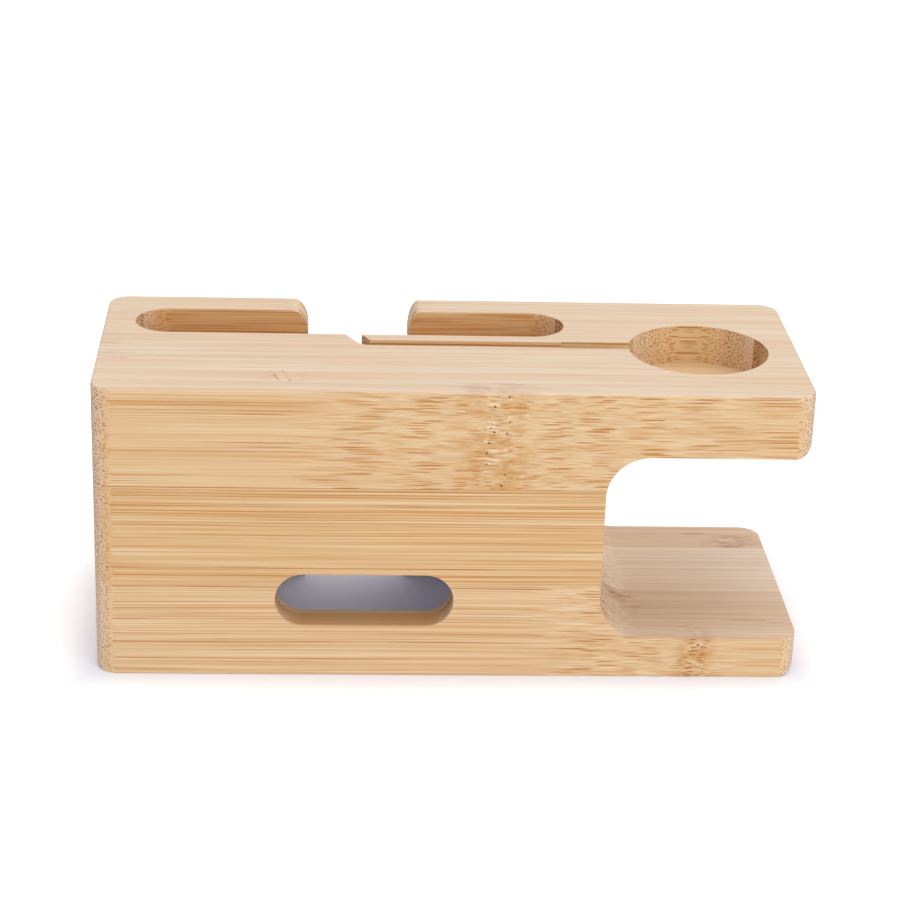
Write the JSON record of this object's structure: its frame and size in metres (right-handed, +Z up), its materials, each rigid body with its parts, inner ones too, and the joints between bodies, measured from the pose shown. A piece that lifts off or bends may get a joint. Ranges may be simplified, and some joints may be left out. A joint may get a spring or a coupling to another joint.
{
  "type": "charging station organizer",
  "caption": "Laminated bamboo block with a phone slot, a rear cable channel, a cable hole, and an arm with a round recess for a watch charger.",
  "frame": {"origin": "middle of the bounding box at the bottom, on the surface that the stand rests on", "axes": "+X along the stand towards the watch arm, -Y towards the front with the cable hole, +Z up"},
  "size_m": [0.165, 0.0636, 0.0714],
  "materials": {
    "bamboo": "satin"
  },
  "bodies": {
    "root": {"strip_bottom_01": "bamboo", "strip_bottom_02": "bamboo", "strip_bottom_03_left": "bamboo", "strip_bottom_03_right": "bamboo", "strip_bottom_04_left": "bamboo", "strip_bottom_04_right": "bamboo", "strip_bottom_05_left": "bamboo", "strip_bottom_05_right": "bamboo", "strip_bottom_06_left": "bamboo", "strip_bottom_06_right": "bamboo", "strip_bottom_07_left": "bamboo", "strip_bottom_07_right": "bamboo", "strip_bottom_08_left": "bamboo", "strip_bottom_08_right": "bamboo", "strip_bottom_09_left": "bamboo", "strip_bottom_09_right": "bamboo", "strip_bottom_10_left": "bamboo", "strip_bottom_10_right": "bamboo", "strip_middle_01": "bamboo", "strip_middle_02": "bamboo", "strip_middle_03": "bamboo", "strip_middle_04": "bamboo", "strip_middle_05": "bamboo", "strip_middle_06": "bamboo", "strip_middle_07": "bamboo", "strip_middle_08": "bamboo", "strip_middle_09": "bamboo", "strip_middle_10_left": "bamboo", "strip_middle_10_right": "bamboo", "strip_top_01": "bamboo", "strip_top_02": "bamboo", "strip_top_03": "bamboo", "strip_top_04": "bamboo", "strip_top_05": "bamboo", "strip_top_06": "bamboo", "strip_top_07": "bamboo", "strip_top_08": "bamboo", "strip_top_09": "bamboo", "strip_top_10_left": "bamboo", "strip_top_10_right": "bamboo"}
  },
  "joints": []
}
